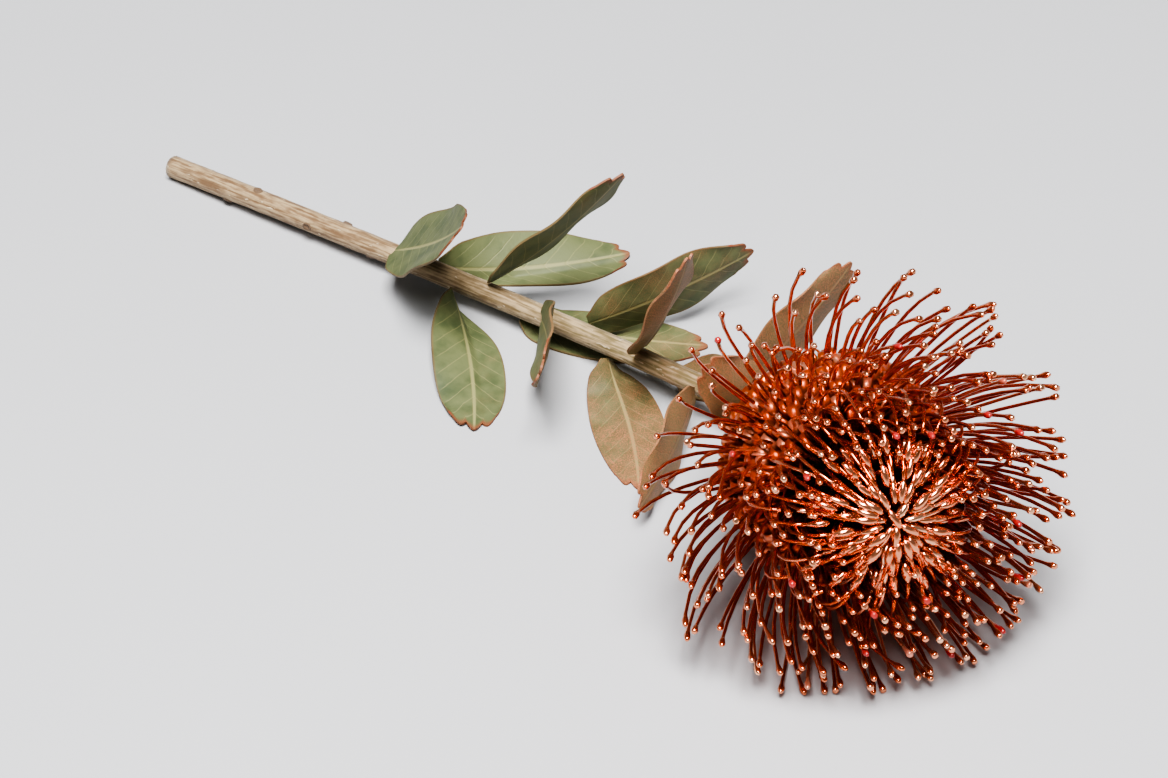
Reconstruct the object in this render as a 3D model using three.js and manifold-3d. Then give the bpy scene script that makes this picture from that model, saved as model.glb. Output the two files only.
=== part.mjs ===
// A painted copper pincushion: one cut flower head on its leafy stem, laid down on a table.
// Millimetres, +Z up. The stem runs along +X from its cut end to the head, the table is the
// plane z = 0, and the origin lies under the middle of the whole flower.
import * as THREE from "three";
import { mergeVertices } from "three/addons/utils/BufferGeometryUtils.js";
import Module from "manifold-3d";

const wasm = await Module();
wasm.setup();

// How the head sits
const HEAD_BASE = new THREE.Vector3(262, -14, 30); // middle of the head's flat underside
const HEAD_HEADING = 41; // degrees that the head nods sideways, from +X towards -Y
const HEAD_RISE = 27; // degrees that it looks up from the table
const JOINT_GAP = 0.3; // clear space where two pieces meet

// Receptacle, the fleshy cone that the florets grow from
const RECEPTACLE_RADIUS = 8.5;
const RECEPTACLE_HEIGHT = 26;
const RECEPTACLE_SIDES = 10;
const RECEPTACLE_RINGS = 4;
const ROOT_DEPTH = 2.5; // how far a floret's root is sunk in

// Florets, ranked from 0 at the tip of the receptacle to 1 at its rim
const FLORETS = 96;
const OPEN_FROM_RANK = 0.2; // the younger ones inside are still closed
const GOLDEN_ANGLE = 180 * (3 - Math.sqrt(5));
const RIM_POLAR_ANGLE = 86; // degrees from the tip of the receptacle to its outermost florets
const FLORET_SIDES = 3;
const ROUTE_STEPS = 60; // short straight steps that a floret's curve is worked out in

// Open floret: the style, a stiff wire that bows outwards and turns forwards again
const STYLE_LENGTH = { inner: 47, rim: 62 };
const STYLE_LEAN = { inner: 40, rim: 96 }; // degrees from the head's axis at the root
const STYLE_END = { inner: -4, rim: 20 }; // the same at the tip
const STYLE_RADIUS = 0.75;
const KNOB_LENGTH = 4.4; // swollen tip that carries the pollen
const KNOB_RADIUS = 1.2;
const KNOB_SHAPE = [[0.35, 1], [0.92, 0.8]]; // shares of its length and of its radius
const STYLE_STEPS = 5;

// Open floret: the petal tube's torn half, a ribbon that rolls back under the style
const RIBBON_LENGTH = { inner: 21, rim: 19 }; // up to the start of the roll
const RIBBON_OFFSET = 1.8; // outside the style
const RIBBON_WIDTH = 2.5;
const RIBBON_THICKNESS = 1;
const ROLL_RADIUS = 1.9;
const ROLL_TURN = 290; // degrees
const ROLL_STEPS = 5;

// Closed floret: a bow whose swollen tip is still held over the middle of the head
const BUD_LENGTH = { inner: 51, rim: 58 };
const BUD_LEAN = { inner: 40, rim: 60 };
const BUD_TURN = { inner: 135, rim: 168 }; // degrees that the bow turns inwards
const BUD_STRAIGHT_SHARE = 0.4;
const BUD_RADIUS = 0.85;
const LIMB_LENGTH = 6;
const LIMB_RADIUS = 1.75;
const LIMB_SHAPE = [[0.4, 1], [0.85, 0.8]]; // shares of its length and of its radius
const BUD_STEPS = 8;

// Natural unevenness
const SEED = 20;
const LENGTH_SPREAD = 0.05;
const LEAN_SPREAD = 4; // degrees
const SWAY = 5; // degrees round the head's axis, gained from root to tip

// Involucre, the cup of overlapping bracts under the head
const CUP_RADIUS = 8;
const CUP_NECK_RADIUS = 3.9;
const CUP_HEIGHT = 13;
const CUP_FOOT = 1; // straight part at the neck
const CUP_SIDES = 9;
const BRACTS = 20;
const BRACT_LENGTH = 9;
const BRACT_WIDTH = 6;
const BRACT_THICKNESS = 1.6;
const BRACT_DROP = 1.4; // how far the highest bract tips stay below the florets
const BRACT_SHAPE = [[0, 0.6], [0.35, 1], [0.75, 0.6], [0.98, 0.12]]; // shares of length and half width
const BRACT_SIZE = { lowest: 0.6, highest: 1 };
const BRACT_SINK = 0.4; // depth of its foot in the cup
const BRACT_SPREAD = 1.15; // its lean against the cup's own slope
const CUP_BULGE = 0.8; // below 1 the cup widens faster near its neck

// Stem
const STEM_RADIUS = { cut: 3.7, neck: 3.1 };
const STEM_SIDES = 10;
const STEM_STEPS = 16;
const STEM_RUN_IN = new THREE.Vector3(120, 6, 6); // straight pull from the cut end
const STEM_BEND_IN = 44; // and at the neck, where it turns up to the head

// Leaves
const LEAVES = 14;
const FIRST_LEAF = 0.36; // share of the stem's length, with the part below it stripped
const LAST_LEAF = 0.93;
const FIRST_LEAF_TURN = 241; // degrees round the stem
const LEAF_LENGTH = { first: 62, last: 46 };
const LEAF_WIDTH = { first: 24, last: 19 };
const LEAF_THICKNESS = 0.8;
const LEAF_BASE_WIDTH = 5;
const LEAF_SHOULDER = 0.12; // share of the length in which the base widens
const LEAF_SWELL = { start: 0.16, span: 0.62, shift: 0.85, fullness: 1.1 }; // share of a sine's half wave
const LEAF_LEAN = { first: 38, last: 66 }; // degrees from the stem at the base
const LEAF_CURL = 16; // degrees that the leaf bends outwards along its length
const LEAF_FOLD = 0.16; // rise of each half per millimetre from the midrib
const LEAF_COLUMNS = 6;
const LEAF_ROWS = 7;
const TOOTH_DEPTH = 1.2;
const TOOTH_FADE = 6; // the higher, the closer to the tip the teeth stay
const TOOTH_SIDE_FADE = 4; // the higher, the closer to the tip's corners the teeth reach
const TIP_ROUNDING = 0.1; // share of the length by which the corners of the blunt tip fall back
const MIDRIB_STEPS = 24;

// How high above the table it starts to bend what comes down on it
const STYLE_GIVE = 0.6;
const LEAF_GIVE = 6;
const LEAF_STIFF_BASE = 14; // length of leaf that keeps its turn round the stem

const COPPER = { color: 0x8f4a2c, roughness: 0.38, metalness: 0.75 };
const DUSTED_GREEN = { color: 0x5e5a38, roughness: 0.7, metalness: 0.05 };
const BRACT_BROWN = { color: 0x7d4a30, roughness: 0.6, metalness: 0.3 };
const BARK = { color: 0x6b5236, roughness: 0.8, metalness: 0 };

const UP = new THREE.Vector3(0, 0, 1);
const ALONG = new THREE.Vector3(1, 0, 0);
const { clamp, degToRad, lerp, smoothstep } = THREE.MathUtils;

// Seeded draws from -1 to 1, the same on every run
const DRAW_RANGE = 2 ** 32;
const DRAW_FACTOR = 1664525;
const DRAW_STEP = 1013904223;
let seedState = SEED;
function draw() {
  seedState = (seedState * DRAW_FACTOR + DRAW_STEP) % DRAW_RANGE;
  return (seedState / DRAW_RANGE) * 2 - 1;
}

function between(range, share) {
  const [from, to] = Object.values(range);
  return lerp(from, to, share);
}

// Smoothly lifts a height that would lie under the lowest one allowed
function press(height, lowest, give) {
  return lowest + give * Math.log1p(Math.exp((height - lowest) / give));
}

// The head's axis and two directions square to it
const headAxis = ALONG.clone()
  .applyAxisAngle(new THREE.Vector3(0, -1, 0), degToRad(HEAD_RISE))
  .applyAxisAngle(UP, -degToRad(HEAD_HEADING));
const headSide = new THREE.Vector3().crossVectors(UP, headAxis).normalize();
const headBack = new THREE.Vector3().crossVectors(headAxis, headSide);

// A point of the head from its turn round the axis, its distance from it and its height
function headPoint(turn, radius, height) {
  const out = headSide.clone().multiplyScalar(Math.cos(turn));
  out.addScaledVector(headBack, Math.sin(turn));
  return HEAD_BASE.clone().addScaledVector(out, radius).addScaledVector(headAxis, height);
}

// Merges a closed mesh's shared points, drops flat triangles and turns its faces outwards
function closedGeometry(geometry) {
  const bare = geometry.clone();
  bare.deleteAttribute("normal");
  bare.deleteAttribute("uv");
  const merged = mergeVertices(bare, 1e-4);
  const index = Array.from(merged.index.array);
  const kept = [];
  for (let i = 0; i < index.length; i += 3) {
    const [a, b, c] = index.slice(i, i + 3);
    if (a !== b && b !== c && c !== a) kept.push(a, b, c);
  }
  merged.setIndex(signedVolume(merged, kept) < 0 ? kept.reverse() : kept);
  return merged;
}

function signedVolume(geometry, index) {
  const corners = [0, 1, 2].map(() => new THREE.Vector3());
  let total = 0;
  for (let i = 0; i < index.length; i += 3) {
    corners.forEach((corner, k) => corner.fromBufferAttribute(geometry.attributes.position, index[i + k]));
    total += corners[0].dot(corners[1].cross(corners[2])) / 6;
  }
  return total;
}

function toSolid(geometry) {
  const closed = closedGeometry(geometry);
  const vertProperties = new Float32Array(closed.attributes.position.array);
  const triVerts = new Uint32Array(closed.index.array);
  return new wasm.Manifold(new wasm.Mesh({ numProp: 3, vertProperties, triVerts }));
}

// Joins closed meshes into one body, and leaves out loose scraps and sealed hollows
function fuse(geometries) {
  const joined = geometries.map(toSolid).reduce((sum, solid) => sum.add(solid));
  const bodies = joined.decompose().sort((a, b) => b.volume() - a.volume());
  const mesh = bodies[0].getMesh();
  const geometry = new THREE.BufferGeometry();
  geometry.setAttribute("position", new THREE.BufferAttribute(mesh.vertProperties, 3));
  geometry.setIndex(new THREE.BufferAttribute(mesh.triVerts, 1));
  return geometry;
}

// Moves each point of a straight rod, drawn along Y, onto a route: x and z stay square to it
function bend(rod, route) {
  const position = rod.attributes.position;
  const point = new THREE.Vector3();
  for (let i = 0; i < position.count; i += 1) {
    point.fromBufferAttribute(position, i);
    const { centre, across, outward } = route(point.y);
    const moved = centre.clone().addScaledVector(across, point.x).addScaledVector(outward, point.z);
    position.setXYZ(i, moved.x, moved.y, moved.z);
  }
  return rod;
}

// A straight rod along Y from rings of [height, radius], closed at both ends
function rodFromRings(rings, sides) {
  const first = new THREE.Vector2(0, rings[0][0]);
  const last = new THREE.Vector2(0, rings[rings.length - 1][0]);
  const profile = [first, ...rings.map(([height, radius]) => new THREE.Vector2(radius, height)), last];
  return new THREE.LatheGeometry(profile, sides);
}

// The route of a floret that starts on the receptacle and leans by leanAt(distance) from
// the head's axis, pushed up wherever it would touch the table
function floretRoute(floret, leanAt, length, offset, clearance) {
  const step = (length + ROOT_DEPTH) / ROUTE_STEPS;
  const points = [];
  let radius = floret.radius + offset * Math.cos(leanAt(0));
  let height = floret.height - offset * Math.sin(leanAt(0));
  radius -= ROOT_DEPTH * Math.sin(leanAt(0));
  height -= ROOT_DEPTH * Math.cos(leanAt(0));
  for (let i = 0; i <= ROUTE_STEPS; i += 1) {
    const distance = i * step - ROOT_DEPTH;
    const turn = floret.turn + floret.sway * (Math.max(distance, 0) / length) ** 2;
    const point = headPoint(turn, radius, height);
    point.z = press(point.z, clearance, STYLE_GIVE);
    points.push(point);
    const lean = leanAt(distance + step / 2);
    radius += step * Math.sin(lean);
    height += step * Math.cos(lean);
  }
  const sideways = headPoint(floret.turn + Math.PI / 2, 1, 0).sub(HEAD_BASE);
  return (distance) => {
    const at = clamp((distance + ROOT_DEPTH) / step, 0, ROUTE_STEPS);
    const cell = Math.min(Math.floor(at), ROUTE_STEPS - 1);
    const centre = points[cell].clone().lerp(points[cell + 1], at - cell);
    const ahead = points[cell + 1].clone().sub(points[cell]).normalize();
    const across = sideways.clone().addScaledVector(ahead, -sideways.dot(ahead)).normalize();
    return { centre, across, outward: across.clone().cross(ahead) };
  };
}

// Rings of a swelling that ends a rod of some length
function swellingRings(length, swellingLength, radius, shape) {
  const start = length - swellingLength;
  return shape.map(([share, width]) => [start + swellingLength * share, radius * width]);
}

// Where each floret stands, and its share of unevenness
function floretSites() {
  const sites = [];
  for (let i = 0; i < FLORETS; i += 1) {
    const rank = (i + 0.5) / FLORETS;
    const polar = Math.acos(1 - rank * (1 - Math.cos(degToRad(RIM_POLAR_ANGLE))));
    sites.push({
      rank,
      turn: degToRad(i * GOLDEN_ANGLE),
      radius: RECEPTACLE_RADIUS * Math.sin(polar),
      height: RECEPTACLE_HEIGHT * Math.cos(polar),
      stretch: 1 + LENGTH_SPREAD * draw(),
      tilt: degToRad(LEAN_SPREAD) * draw(),
      sway: degToRad(SWAY) * draw(),
    });
  }
  return sites;
}

function openStyle(floret, age) {
  const length = between(STYLE_LENGTH, age) * floret.stretch;
  const from = degToRad(between(STYLE_LEAN, age)) + floret.tilt;
  const to = degToRad(between(STYLE_END, age)) + floret.tilt;
  const leanAt = (distance) => lerp(from, to, clamp(distance / length, 0, 1));
  const rings = [];
  for (let i = 0; i <= STYLE_STEPS; i += 1) {
    const height = lerp(-ROOT_DEPTH, length - KNOB_LENGTH, i / STYLE_STEPS);
    rings.push([height, STYLE_RADIUS]);
  }
  rings.push(...swellingRings(length, KNOB_LENGTH, KNOB_RADIUS, KNOB_SHAPE));
  return bend(rodFromRings(rings, FLORET_SIDES), floretRoute(floret, leanAt, length, 0, KNOB_RADIUS));
}

function rolledRibbon(floret, age) {
  const straight = between(RIBBON_LENGTH, age) * floret.stretch;
  const rollLength = ROLL_RADIUS * degToRad(ROLL_TURN);
  const length = straight + rollLength;
  const from = degToRad(between(STYLE_LEAN, age)) + floret.tilt;
  const leanAt = (distance) => from + degToRad(ROLL_TURN) * Math.max(0, (distance - straight) / rollLength);
  const heights = [-ROOT_DEPTH, straight / 2, straight];
  for (let i = 1; i <= ROLL_STEPS; i += 1) heights.push(straight + (rollLength * i) / ROLL_STEPS);
  const rod = rodFromRings(heights.map((height) => [height, 1]), FLORET_SIDES);
  const ribbon = rod.scale(RIBBON_WIDTH / 2, 1, RIBBON_THICKNESS / 2);
  return bend(ribbon, floretRoute(floret, leanAt, length, RIBBON_OFFSET, RIBBON_THICKNESS));
}

function closedBow(floret, age) {
  const length = between(BUD_LENGTH, age) * floret.stretch;
  const straight = length * BUD_STRAIGHT_SHARE;
  const from = degToRad(between(BUD_LEAN, age)) + floret.tilt;
  const turnBack = degToRad(between(BUD_TURN, age));
  const leanAt = (distance) => from - turnBack * Math.max(0, (distance - straight) / (length - straight));
  const rings = [[-ROOT_DEPTH, BUD_RADIUS]];
  for (let i = 0; i < BUD_STEPS; i += 1) {
    rings.push([lerp(straight, length - LIMB_LENGTH, i / (BUD_STEPS - 1)), BUD_RADIUS]);
  }
  rings.push(...swellingRings(length, LIMB_LENGTH, LIMB_RADIUS, LIMB_SHAPE));
  return bend(rodFromRings(rings, FLORET_SIDES), floretRoute(floret, leanAt, length, 0, LIMB_RADIUS));
}

function flowerHead() {
  const dome = [new THREE.Vector2(0, 0)];
  for (let i = RECEPTACLE_RINGS; i >= 0; i -= 1) {
    const angle = ((Math.PI / 2) * i) / RECEPTACLE_RINGS;
    dome.push(new THREE.Vector2(RECEPTACLE_RADIUS * Math.sin(angle), RECEPTACLE_HEIGHT * Math.cos(angle)));
  }
  const receptacle = bend(new THREE.LatheGeometry(dome, RECEPTACLE_SIDES), (height) => ({
    centre: HEAD_BASE.clone().addScaledVector(headAxis, height),
    across: headSide,
    outward: headBack.clone().negate(),
  }));
  const pieces = [receptacle];
  for (const floret of floretSites()) {
    if (floret.rank < OPEN_FROM_RANK) {
      pieces.push(closedBow(floret, floret.rank / OPEN_FROM_RANK));
    } else {
      const age = (floret.rank - OPEN_FROM_RANK) / (1 - OPEN_FROM_RANK);
      pieces.push(openStyle(floret, age), rolledRibbon(floret, age));
    }
  }
  return fuse(pieces);
}

// One bract: a flat pointed scale on the cup, its tip standing a little off
function bract(turn, share) {
  const size = between(BRACT_SIZE, share);
  const scale = rodFromRings(BRACT_SHAPE, 4).rotateY(Math.PI / 4);
  scale.scale((BRACT_WIDTH * size) / 2, BRACT_LENGTH * size, BRACT_THICKNESS / 2);
  const radius = lerp(CUP_NECK_RADIUS, CUP_RADIUS, share ** CUP_BULGE) - BRACT_SINK;
  const height = lerp(-CUP_HEIGHT, -BRACT_LENGTH - BRACT_DROP, share);
  const lean = Math.atan2(CUP_RADIUS - CUP_NECK_RADIUS, CUP_HEIGHT) * BRACT_SPREAD;
  return bend(scale, (distance) => {
    const out = headPoint(turn, 1, 0).sub(HEAD_BASE);
    return {
      centre: headPoint(turn, radius + distance * Math.sin(lean), height + distance * Math.cos(lean)),
      across: headPoint(turn + Math.PI / 2, 1, 0).sub(HEAD_BASE),
      outward: out.multiplyScalar(Math.cos(lean)).addScaledVector(headAxis, -Math.sin(lean)),
    };
  });
}

function involucre() {
  const widest = lerp(-CUP_HEIGHT, -JOINT_GAP, CUP_BULGE);
  const cup = [
    [0, -CUP_HEIGHT - CUP_FOOT],
    [CUP_NECK_RADIUS, -CUP_HEIGHT - CUP_FOOT],
    [CUP_NECK_RADIUS, -CUP_HEIGHT],
    [lerp(CUP_NECK_RADIUS, CUP_RADIUS, CUP_BULGE), -CUP_HEIGHT / 2],
    [CUP_RADIUS, widest],
    [CUP_RADIUS, -JOINT_GAP],
    [0, -JOINT_GAP],
  ];
  const profile = cup.map(([radius, height]) => new THREE.Vector2(radius, height));
  const body = bend(new THREE.LatheGeometry(profile, CUP_SIDES), (height) => ({
    centre: HEAD_BASE.clone().addScaledVector(headAxis, height),
    across: headSide,
    outward: headBack.clone().negate(),
  }));
  const pieces = [body];
  for (let i = 0; i < BRACTS; i += 1) {
    pieces.push(bract(degToRad(i * GOLDEN_ANGLE), i / (BRACTS - 1)));
  }
  return fuse(pieces);
}

// The stem's middle line, from the cut end on the table to the neck under the cup
const neck = HEAD_BASE.clone().addScaledVector(headAxis, -CUP_HEIGHT - CUP_FOOT - JOINT_GAP);
const cutEnd = new THREE.Vector3(0, 0, STEM_RADIUS.cut);
const stemLine = new THREE.CubicBezierCurve3(
  cutEnd,
  cutEnd.clone().add(STEM_RUN_IN),
  neck.clone().addScaledVector(headAxis, -STEM_BEND_IN),
  neck,
);

function stemFrame(share) {
  const centre = stemLine.getPointAt(share);
  const ahead = stemLine.getTangentAt(share);
  const across = new THREE.Vector3().crossVectors(UP, ahead).normalize();
  return { centre, ahead, across, outward: across.clone().cross(ahead) };
}

function stem() {
  const rings = [];
  for (let i = 0; i <= STEM_STEPS; i += 1) {
    const share = i / STEM_STEPS;
    rings.push([share, between(STEM_RADIUS, share)]);
  }
  return closedGeometry(bend(rodFromRings(rings, STEM_SIDES), stemFrame));
}

// Half of a leaf's width at a share of its length: rounded base, widest before the
// middle, a broad blunt end
function leafHalfWidth(share, width) {
  const inside = Math.max(share, 0);
  const halfWave = LEAF_SWELL.start + LEAF_SWELL.span * inside ** LEAF_SWELL.shift;
  const swell = Math.sin(Math.PI * halfWave) ** LEAF_SWELL.fullness;
  const shoulder = 1 - (1 - Math.min(inside / LEAF_SHOULDER, 1)) ** 2;
  return lerp(LEAF_BASE_WIDTH / 2, (width / 2) * swell, shoulder);
}

// A thin closed blade from a grid of points, half its thickness to either side, with
// both faces split into triangles alike, along the diagonals that run out to the tip's corners
function blade(columns, rows, surfacePoint, thickness) {
  const nudge = 1e-3;
  const positions = [];
  const index = [];
  const across = columns + 1;
  const sheet = across * (rows + 1);
  for (const side of [0.5, -0.5]) {
    for (let row = 0; row <= rows; row += 1) {
      for (let column = 0; column <= columns; column += 1) {
        const u = column / columns;
        const v = row / rows;
        const point = surfacePoint(u, v);
        const alongU = surfacePoint(u + nudge, v).sub(surfacePoint(u - nudge, v));
        const alongV = surfacePoint(u, v + nudge).sub(surfacePoint(u, v - nudge));
        const normal = alongU.cross(alongV).normalize();
        positions.push(...point.addScaledVector(normal, side * thickness).toArray());
      }
    }
  }
  const quad = (a, b, c, d) => index.push(a, b, c, a, c, d);
  for (let row = 0; row < rows; row += 1) {
    for (let column = 0; column < columns; column += 1) {
      const a = row * across + column;
      const [b, c, d] = [a + 1, a + across + 1, a + across];
      const [p, q, r, s] = column < columns / 2 ? [d, a, b, c] : [a, b, c, d];
      quad(p, q, r, s);
      quad(p + sheet, s + sheet, r + sheet, q + sheet);
    }
  }
  for (let row = 0; row < rows; row += 1) {
    const left = row * across;
    const right = left + columns;
    quad(left + sheet, left, left + across, left + across + sheet);
    quad(right, right + sheet, right + across + sheet, right + across);
  }
  for (let column = 0; column < columns; column += 1) {
    const tip = rows * across + column;
    quad(column, column + sheet, column + 1 + sheet, column + 1);
    quad(tip + sheet, tip, tip + 1, tip + 1 + sheet);
  }
  const geometry = new THREE.BufferGeometry();
  geometry.setAttribute("position", new THREE.Float32BufferAttribute(positions, 3));
  geometry.setIndex(index);
  return closedGeometry(geometry);
}

// A leaf's midrib, step by step from the stem: it leans out, and where it meets the table
// it turns level and runs on at its full length
function midrib(share, turn, length, lean) {
  const { centre, ahead, across, outward } = stemFrame(share);
  const out = across.clone().multiplyScalar(Math.cos(turn)).addScaledVector(outward, Math.sin(turn));
  const side = ahead.clone().cross(out);
  const floor = LEAF_THICKNESS / 2;
  const step = length / MIDRIB_STEPS;
  const point = centre.addScaledVector(out, between(STEM_RADIUS, share) + JOINT_GAP + floor);
  const stations = [];
  for (let i = 0; i <= MIDRIB_STEPS; i += 1) {
    const leanHere = lean + (degToRad(LEAF_CURL) * i) / MIDRIB_STEPS;
    const heading = ahead.clone().multiplyScalar(Math.cos(leanHere)).addScaledVector(out, Math.sin(leanHere));
    const rootward = 1 - smoothstep(i * step, 0, LEAF_STIFF_BASE);
    const free = Math.max(smoothstep(point.z - floor, 0, LEAF_GIVE), heading.z > 0 ? 1 : 0);
    heading.setZ(heading.z * free).normalize();
    const level = side.clone().setZ(side.z * Math.max(free, rootward));
    level.addScaledVector(heading, -level.dot(heading)).normalize();
    stations.push({ point: point.clone(), heading, side: level, inward: level.clone().cross(heading) });
    point.addScaledVector(heading, step);
  }
  return stations;
}

function leaf(number) {
  const age = number / (LEAVES - 1);
  const share = lerp(FIRST_LEAF, LAST_LEAF, age);
  const turn = degToRad(FIRST_LEAF_TURN + number * GOLDEN_ANGLE);
  const length = between(LEAF_LENGTH, age);
  const width = between(LEAF_WIDTH, age);
  const stations = midrib(share, turn, length, degToRad(between(LEAF_LEAN, age)));
  const surfacePoint = (u, v) => {
    const offCentre = (u - 0.5) * 2;
    const sideFade = 1 - Math.abs(offCentre) ** TOOTH_SIDE_FADE;
    const wave = Math.cos((Math.PI * offCentre * LEAF_COLUMNS) / 2) * sideFade;
    const tooth = wave * TOOTH_DEPTH * Math.max(v, 0) ** TOOTH_FADE;
    const reach = length * (1 - TIP_ROUNDING * offCentre ** 2 * v ** 3) - TOOTH_DEPTH;
    const at = clamp(((reach * v + tooth) / length) * MIDRIB_STEPS, 0, MIDRIB_STEPS);
    const cell = Math.min(Math.floor(at), MIDRIB_STEPS - 1);
    const [near, far] = [stations[cell], stations[cell + 1]];
    const spread = offCentre * leafHalfWidth(v, width);
    const point = near.point.clone().lerp(far.point, at - cell);
    point.addScaledVector(near.side.clone().lerp(far.side, at - cell), spread);
    point.addScaledVector(near.inward.clone().lerp(far.inward, at - cell), LEAF_FOLD * Math.abs(spread));
    point.z = Math.max(point.z, LEAF_THICKNESS / 2);
    return point;
  };
  return blade(LEAF_COLUMNS, LEAF_ROWS, surfacePoint, LEAF_THICKNESS);
}

function named(name, geometry, finish) {
  const mesh = new THREE.Mesh(geometry, new THREE.MeshStandardMaterial(finish));
  mesh.name = name;
  return mesh;
}

const flower = new THREE.Group();
flower.add(named("flower_head", flowerHead(), COPPER));
flower.add(named("involucre", involucre(), BRACT_BROWN));
flower.add(named("stem", stem(), BARK));
for (let i = 0; i < LEAVES; i += 1) {
  const label = String(i + 1).padStart(2, "0");
  flower.add(named(`leaf_${label}`, leaf(i), DUSTED_GREEN));
}

// Sets the origin under the middle of the whole flower
const box = new THREE.Box3().setFromObject(flower, true);
const middle = box.getCenter(new THREE.Vector3());
flower.position.set(-middle.x, -middle.y, -box.min.z);

const group = new THREE.Group();
group.add(flower);

export default group;
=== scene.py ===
# %% [markdown]
# # A painted copper pincushion
# A pincushion is a flower head made of hundreds of small florets. Each floret sends out a stiff
# wire, the style, with a swollen tip, and the petals that held it have torn and rolled back under
# it. This one was sprayed with copper paint after it was cut, so the head looks like beaten wire,
# while the stem and the leaves below it only caught some dust of the paint. Here it lies on a
# table, and the camera looks down into the head.

# %% Load the frame
import math
import random

import bpy
import numpy as np
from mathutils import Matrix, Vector


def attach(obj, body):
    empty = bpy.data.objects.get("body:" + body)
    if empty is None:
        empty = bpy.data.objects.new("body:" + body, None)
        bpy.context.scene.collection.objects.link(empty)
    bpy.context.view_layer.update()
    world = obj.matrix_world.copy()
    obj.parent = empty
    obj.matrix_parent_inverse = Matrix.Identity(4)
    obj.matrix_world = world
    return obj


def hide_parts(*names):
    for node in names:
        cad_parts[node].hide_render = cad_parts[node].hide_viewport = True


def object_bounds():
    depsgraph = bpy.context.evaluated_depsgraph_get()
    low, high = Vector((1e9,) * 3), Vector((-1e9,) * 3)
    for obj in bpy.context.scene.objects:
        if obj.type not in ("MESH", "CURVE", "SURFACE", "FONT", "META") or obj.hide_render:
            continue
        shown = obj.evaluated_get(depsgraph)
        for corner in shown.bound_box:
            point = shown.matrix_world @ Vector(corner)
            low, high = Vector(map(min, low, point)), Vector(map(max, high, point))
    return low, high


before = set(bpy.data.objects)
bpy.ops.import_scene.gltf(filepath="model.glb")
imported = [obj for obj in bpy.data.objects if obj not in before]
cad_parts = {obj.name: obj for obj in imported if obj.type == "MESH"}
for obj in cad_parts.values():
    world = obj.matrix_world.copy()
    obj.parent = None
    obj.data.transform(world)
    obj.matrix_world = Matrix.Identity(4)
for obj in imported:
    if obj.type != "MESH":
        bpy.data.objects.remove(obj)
cad_box = [list(corner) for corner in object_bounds()]
print("nodes in the frame:", len(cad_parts))

# %% [markdown]
# ## Where the flower lies
# Every size below is in metres. The head is placed from the stem's cut end, which is measured on
# the frame's own stem, so that the new pieces land exactly where the plain solids are. It could be
# placed by hand instead, but then it would stay behind if the frame ever moved.

# %% Place of the head
MM = 0.001
STEM_RADIUS = (3.7 * MM, 3.1 * MM)  # at the cut, at the neck
HEAD_FROM_CUT_END = np.array([262.0, -14.0, 30.0]) * MM
HEAD_HEADING = math.radians(41)  # nods sideways from +X towards -Y
HEAD_RISE = math.radians(27)  # looks up from the table
UP = np.array([0.0, 0.0, 1.0])


def points_of(piece):
    """All of a piece's vertices as rows of x, y, z."""
    flat = np.empty(len(piece.data.vertices) * 3)
    piece.data.vertices.foreach_get("co", flat)
    return flat.reshape(-1, 3)


def unit(vectors):
    """Vectors, one or a row each, at length 1."""
    return vectors / np.linalg.norm(vectors, axis=-1, keepdims=True)


def direction(heading, rise):
    """A direction turned from +X towards -Y, and up."""
    level = math.cos(rise)
    return np.array([math.cos(heading) * level, -math.sin(heading) * level, math.sin(rise)])


stem_points = points_of(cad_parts["stem"])
cut_ring = stem_points[stem_points[:, 0] < stem_points[:, 0].min() + 2 * MM]
cut_end = cut_ring.mean(axis=0)
flower_origin = cut_end - STEM_RADIUS[0] * UP
head_base = flower_origin + HEAD_FROM_CUT_END
head_axis = direction(HEAD_HEADING, HEAD_RISE)
head_side = unit(np.cross(UP, head_axis))
head_back = np.cross(head_axis, head_side)
print("head base (mm):", np.round(head_base / MM, 1))

# %% [markdown]
# ## Rods that follow a route
# Styles, petals, stem and bracts are all long thin things. One straight rod is modelled: a small
# ring is filled, then extruded upwards and resized, ring after ring. Copies of it are then
# laid along their routes: a vertex keeps its place in the rod's cross-section while the rod's
# middle line follows the route. A curve object with a bevel could do this too, but it can't give
# a rod that swells at its tip and flattens into a ribbon.

# %% Extrude a straight rod
def blend(pair, share):
    """The value between a pair's first and second, at a share from 0 to 1."""
    return pair[0] + (pair[1] - pair[0]) * share


def tapered(girths, steps, haste=1.0):
    """An outline in even steps whose girth goes from one to the other, and then stays even."""
    return [(i / steps, blend(girths, min(1, haste * i / steps))) for i in range(steps + 1)]


def rings_from(outline, length, radius, start=0.0):
    """Heights and radii of rings, from an outline given in shares of a length and a radius."""
    return [(start + share * length, size * radius) for share, size in outline]


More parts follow.
